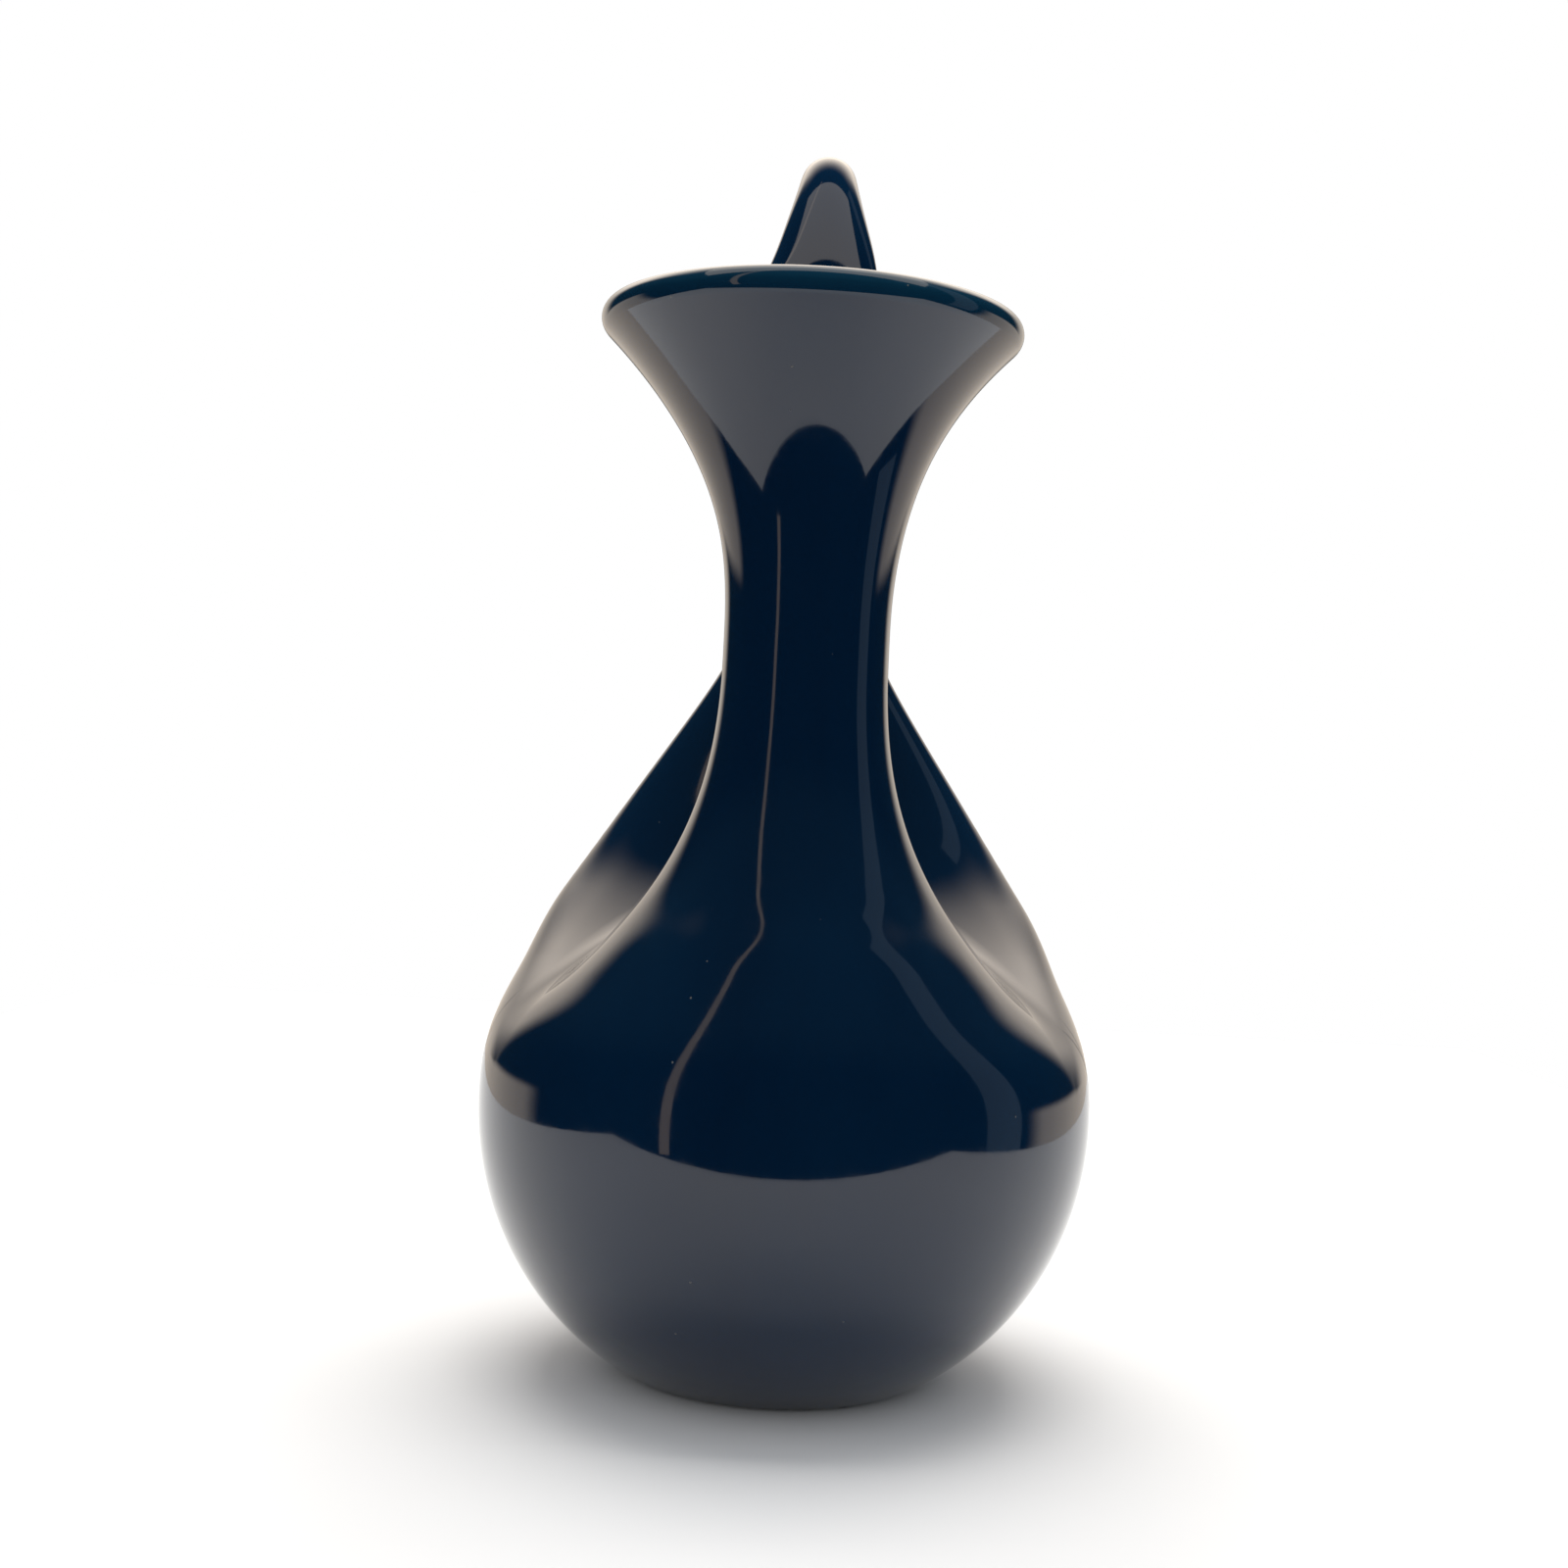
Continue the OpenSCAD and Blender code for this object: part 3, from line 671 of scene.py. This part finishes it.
root_y, arch_z = lip_mid[0] - NECK_Y, TOP_Z - ARCH_R


def loop_station(a, b, w, t):
    return np.array([mix(root_y, OUT_Y, a), mix(LIP_Z, arch_z, b), w, t])


ROOT_LEVEL, ROOT_PITCH = 0.643 * LIP_T, 1.9 * LIP_T


def root_station(a, k, w, t):
    return np.array([mix(root_y, OUT_Y, a), LIP_Z + ROOT_LEVEL + k * ROOT_PITCH, w, t])


up1, dn1, mid0 = station(STEM_Z + 1), station(STEM_Z - 1), station(STEM_Z)
run0, bend0 = (up1 - dn1) / 2 * 20, (up1 + dn1 - 2 * mid0) * 400
mid1 = mid0 - bend0 / 6
STATIONS = np.array(
    [
        mid1 - run0 + bend0 / 2,
        mid1,
        mid1 + run0 + bend0 / 2,
        loop_station(0.84, -0.39, STRAP_W, STRAP_T),
        loop_station(0.985, -0.05, STRAP_W - 0.3, STRAP_T - 0.2),
        loop_station(1.025, 0.304, STRAP_W - 1.5, mix(ARCH_R, STRAP_T, 0.7)),
        loop_station(0.902, 0.606, mix(ARCH_R, STRAP_W, 0.43), mix(ARCH_R, STRAP_T, 0.4)),
        loop_station(0.677, 0.881, mix(ARCH_R, STRAP_W, 0.12), mix(ARCH_R, STRAP_T, 0.1)),
        loop_station(0.326, 1.048, ARCH_R - 0.2, ARCH_R),
        loop_station(0.039, 0.906, mix(ARCH_R, ROOT_W, 0.09), ARCH_R - 0.2),
        loop_station(-0.072, 0.616, mix(ARCH_R, ROOT_W, 0.47), ARCH_R - 0.9),
        root_station(-0.060, 1, mix(ARCH_R, ROOT_W, 0.82), 0.55 * LIP_T + 0.8),
        root_station(0.002, 0, ROOT_W + 0.4, 0.45 * LIP_T + 0.4),
        root_station(0.083, -1, ROOT_W + 1.6, 0.38 * LIP_T),
    ]
)
LAST = len(STATIONS) - 3
STEM_END, ARCH_END = 3.2, 8.5


def spline(s, weights):
    """A uniform cubic B-spline through the stations, or its slope, by its four weights."""
    i = np.clip(np.floor(s), 0, LAST - 1).astype(int)
    u = (s - i)[..., None]
    return sum(STATIONS[i + k] * weight for k, weight in enumerate(weights(u, 1 - u)))


def handle_at(s):
    third = lambda t: 3 * t**3 - 6 * t * t + 4
    return spline(s, lambda u, v: (v**3, third(u), third(v), u**3)) / 6


def handle_run(s):
    half = lambda t: 3 * t * t - 4 * t
    return spline(s, lambda u, v: (-v * v, half(u), -half(v), u * u)) / 2


def handle_point(s, th, share=1.0):
    s, th = np.broadcast_arrays(np.asarray(s, float), th)
    h, r = handle_at(s), handle_run(s)
    a = np.arctan2(r[..., 0], r[..., 1])
    # an unbroken angle: it passes straight down on the far side of the arch
    a = np.where((s > 6) & (a > 0.5), a - 2 * math.pi, a) * ease(s / 1.2)
    dy, dz = np.sin(a), np.cos(a)
    x, v = share * h[..., 2] * np.cos(th), share * h[..., 3] * np.sin(th)
    reach = h[..., 0] + NECK_Y
    sag = reach - np.sqrt(np.maximum(1, reach * reach - x * x))
    curl = ease((s - ARCH_END) / (LAST - ARCH_END))
    return np.stack([x, h[..., 0] + v * dz - curl * sag, h[..., 1] - v * dy], -1)


zc = np.linspace(COLLAR_Z, STEM_Z, 60)[:, None]
co = cowl_point(zc, TH)
cno = surface_normal(cowl_point, zc, TH)
cav_top = at(0.97)
zi = np.linspace(cav_top - 0.3, COLLAR_Z, 40)[:, None]
zr = mix(COLLAR_Z, cav_top, 0.35)


def cavity(z, th):
    u = np.clip((z - zr) / (cav_top - zr), 0, 1)
    return cowl_point(z, th, -WALL, np.sqrt(np.maximum(1 - u * u, 1e-4)))


ci = cavity(zi, TH)
cni = -surface_normal(cavity, np.minimum(zi, cav_top - 0.35), TH)
bot = np.zeros((2, LOFT, 3))
bot[..., 2] = -1
cowl = piece(
    "handle_cowl_look",
    [(ci, cni, 0), (np.stack([ci[-1], co[0]]), bot, 1), (co, cno, 0)],
    [GLAZE, CLAY],
    caps=(True, True),
)


def handle_piece(name, s0, s1, rows):
    s = np.linspace(s0, s1, rows)[:, None]
    p = handle_point(s, TH)
    n = surface_normal(handle_point, s, TH)
    ob = piece(name, [(p, n, 0)], [GLAZE], caps=(True, True))


handle_piece("handle_stem_look", 0.0, STEM_END, 60)
handle_piece("handle_arch_look", STEM_END, ARCH_END, 110)

# The tongue runs out over the lip in a soft fillet.
A1 = across / np.hypot(*across)
T1 = np.array([-A1[1], A1[0]])


def lip_dist(p):
    rr = np.hypot(p[..., 0], p[..., 1] + NECK_Y) - lip_mid[0]
    zz = p[..., 2] - lip_mid[1]
    u = (rr * A1[0] + zz * A1[1]) * 2 / LIP_T
    v = (rr * T1[0] + zz * T1[1]) / LIP_L
    return np.where(v > 0, np.hypot(u, v) - 1, np.abs(u) - 1) * 3.8


def lip_normal(p):
    e = 0.02
    g = []
    for ax in range(3):
        d = np.zeros(3)
        d[ax] = e
        g.append(lip_dist(p + d) - lip_dist(p - d))
    return norm(np.stack(g, -1))


def smooth_both(a, b):
    h = np.maximum(0, FILLET - np.abs(a - b)) / FILLET
    return np.minimum(a, b) - h * h * FILLET / 4


def meet(depth, share=1.0):
    return bisect(
        lambda s: lip_dist(handle_point(s, TH, share)) < depth,
        np.full(LOFT, ARCH_END),
        np.full(LOFT, float(LAST)),
    )


hit = meet(0.0)
deep = meet(-SINK)
w = np.linspace(0, 1, 70)[:, None]
into_lip = np.linspace(0.25, 1, 5)[:, None]
s = np.concatenate([mix(ARCH_END, hit, w**0.9), mix(hit, deep, into_lip)])
flat = handle_point(s, TH)
fn = surface_normal(handle_point, s, TH)
d = bisect(
    lambda m: smooth_both(m, lip_dist(flat + fn * m[..., None])) > 0,
    np.zeros(s.shape),
    np.full(s.shape, FILLET + 0.4),
)
rp = flat + fn * d[..., None]
b = lip_dist(rp)
wa = np.clip(0.5 + (b - d) / (2 * FILLET), 0, 1)[..., None]
rn = norm(fn * wa + lip_normal(rp) * (1 - wa))
sole_rows = [handle_point(meet(-SINK, share), TH, share) for share in (0.75, 0.5, 0.25, 0.02)]
sole_p = np.stack([rp[-1]] + sole_rows)
sole_n = np.broadcast_to(np.array([0, 0, -1.0]), sole_p.shape)
root = piece("handle_root_look", [(rp, rn, 0), (sole_p, sole_n, 0)], [GLAZE], caps=(True, True))


# ---------------------------------------------------------------- stage
scene = bpy.context.scene
scene.view_settings.view_transform = "Standard"
scene.view_settings.look = "None"
scene.view_settings.exposure = 0.0
scene.view_settings.gamma = 1.0

CREAM = (1.0, 0.88, 0.75, 1)
ROOM = (0.010, 0.022, 0.032, 1)


class Graph:
    """Short arithmetic on the sockets of one node tree."""

    def __init__(self, tree):
        self.tree = tree

    def join(self, value, socket):
        if isinstance(value, (int, float, tuple)):
            socket.default_value = value
        else:
            self.tree.links.new(value, socket)

    def op(self, kind, *values):
        n = add(self.tree, "ShaderNodeMath", operation=kind)
        for value, socket in zip(values, n.inputs):
            self.join(value, socket)
        return n.outputs[0]

    def step(self, value, low, high):
        n = add(self.tree, "ShaderNodeMapRange", interpolation_type="SMOOTHSTEP")
        self.join(value, n.inputs[0])
        n.inputs["From Min"].default_value = low
        n.inputs["From Max"].default_value = high
        return n.outputs[0]

    def mix(self, share, a, b):
        n = add(self.tree, "ShaderNodeMix", data_type="RGBA")
        for value, index in ((share, 0), (a, 6), (b, 7)):
            self.join(value, n.inputs[index])
        return n.outputs[2]

    def background(self, colour, strength=1.0):
        n = add(self.tree, "ShaderNodeBackground")
        self.join(colour, n.inputs[0])
        self.join(strength, n.inputs[1])
        return n.outputs[0]

    def choose(self, share, a, b):
        n = add(self.tree, "ShaderNodeMixShader")
        for value, socket in zip((share, a, b), n.inputs):
            self.join(value, socket)
        return n.outputs[0]


def area(name, place, target, width, height, energy, colour, glossy=True):
    light = bpy.data.lights.new(name, "AREA")
    light.shape = "RECTANGLE"
    light.size, light.size_y = width, height
    light.energy, light.color = energy, colour
    ob = bpy.data.objects.new(name, light)
    ob.location = place
    ob.rotation_euler = (Vector(target) - Vector(place)).to_track_quat("-Z", "Y").to_euler()
    ob.visible_camera = False
    ob.visible_glossy = glossy
    scene.collection.objects.link(ob)


# one plain pale table; its front edge is mirrored as the line across the belly
TABLE_X, TABLE_BACK, TABLE_FRONT = 0.42, 0.75, -0.26
table_mat = bpy.data.materials.new("table")
nt, lk = nodes_of(table_mat)
out = add(nt, "ShaderNodeOutputMaterial")
paint = add(nt, "ShaderNodeBsdfDiffuse")
paint.inputs[0].default_value = (0.86, 0.86, 0.86, 1)
lk.new(paint.outputs[0], out.inputs[0])
corners = [
    (-TABLE_X, TABLE_FRONT, 0),
    (TABLE_X, TABLE_FRONT, 0),
    (TABLE_X, TABLE_BACK, 0),
    (-TABLE_X, TABLE_BACK, 0),
]
mesh = bpy.data.meshes.new("table")
mesh.from_pydata(corners, [], [(0, 1, 2, 3)])
mesh.materials.append(table_mat)
table = bpy.data.objects.new("table", mesh)
scene.collection.objects.link(table)

# white to the camera, an even fill to diffuse light, and to gloss a dim room with a pale
# screen at the back, which has a dark gap low in its middle
world = bpy.data.worlds.new("studio")
scene.world = world
world.use_nodes = True
world.node_tree.nodes.clear()
g = Graph(world.node_tree)
ray = add(g.tree, "ShaderNodeLightPath").outputs
split = add(g.tree, "ShaderNodeSeparateXYZ")
g.join(add(g.tree, "ShaderNodeTexCoord").outputs["Generated"], split.inputs[0])
x, y, z = split.outputs
wide = g.op("ABSOLUTE", x)
screen = g.op("MULTIPLY", g.op("SUBTRACT", 1.0, g.step(wide, 0.50, 0.70)), g.step(y, 0.0, 0.60))
middle = g.op("SUBTRACT", 1.0, g.step(wide, 0.12, 0.30))
gap = g.op("MULTIPLY", middle, g.op("SUBTRACT", 1.0, g.step(z, 0.20, 0.45)))
screen = g.op("MULTIPLY", screen, g.op("SUBTRACT", 1.0, gap))
below = g.op("SUBTRACT", 1.0, g.step(z, -0.03, 0.03))
below = g.op("MULTIPLY", below, g.step(y, 0.15, 0.35))
pale = g.op("MULTIPLY_ADD", g.step(z, 0.30, 0.62), 1.6, 0.9)
gloss = g.background(g.mix(g.op("MAXIMUM", screen, below), ROOM, CREAM), pale)
fill = g.background((0.85, 0.87, 0.90, 1), 0.75)
white = g.background((1.0, 1.0, 1.0, 1))
lit = g.choose(ray["Is Diffuse Ray"], gloss, fill)
lit = g.choose(ray["Is Camera Ray"], lit, white)
g.join(lit, add(g.tree, "ShaderNodeOutputWorld").inputs[0])

# a softbox over the table, a slim light on the left, a dim one on the right, a small one over the mouth
area("top_softbox", (0, 0.28, 1.35), (0, 0, 0), 1.2, 0.95, 14.0, (1.0, 0.99, 0.97), glossy=False)
area("strip_light", (-0.80, -0.92, 1.60), (0, -0.02, 1.60), 0.08, 3.6, 0.80, (1.0, 0.78, 0.58))
area("side_light", (1.00, -0.10, 0.70), (0, 0, 0.70), 0.30, 1.8, 0.42, (0.60, 0.80, 1.0))
area("mouth_softbox", (0, -0.052, 0.350), (0, 0.02, 0.29), 0.17, 0.12, 0.085, (1.0, 0.92, 0.82))

# camera level with the belly of the pot, looking along +Y, turned a little
roll = math.radians(2.8)
cam = bpy.data.cameras.new("camera")
cam.lens, cam.sensor_width = 46.28, 36.0
cam.shift_x = -0.01
cam.clip_start = 0.01
camera = bpy.data.objects.new("camera", cam)
camera.location = (0.0, -0.5, 0.1443)
camera.rotation_euler = (math.radians(90), -roll, 0)
scene.collection.objects.link(camera)
scene.camera = camera

bpy.context.view_layer.update()
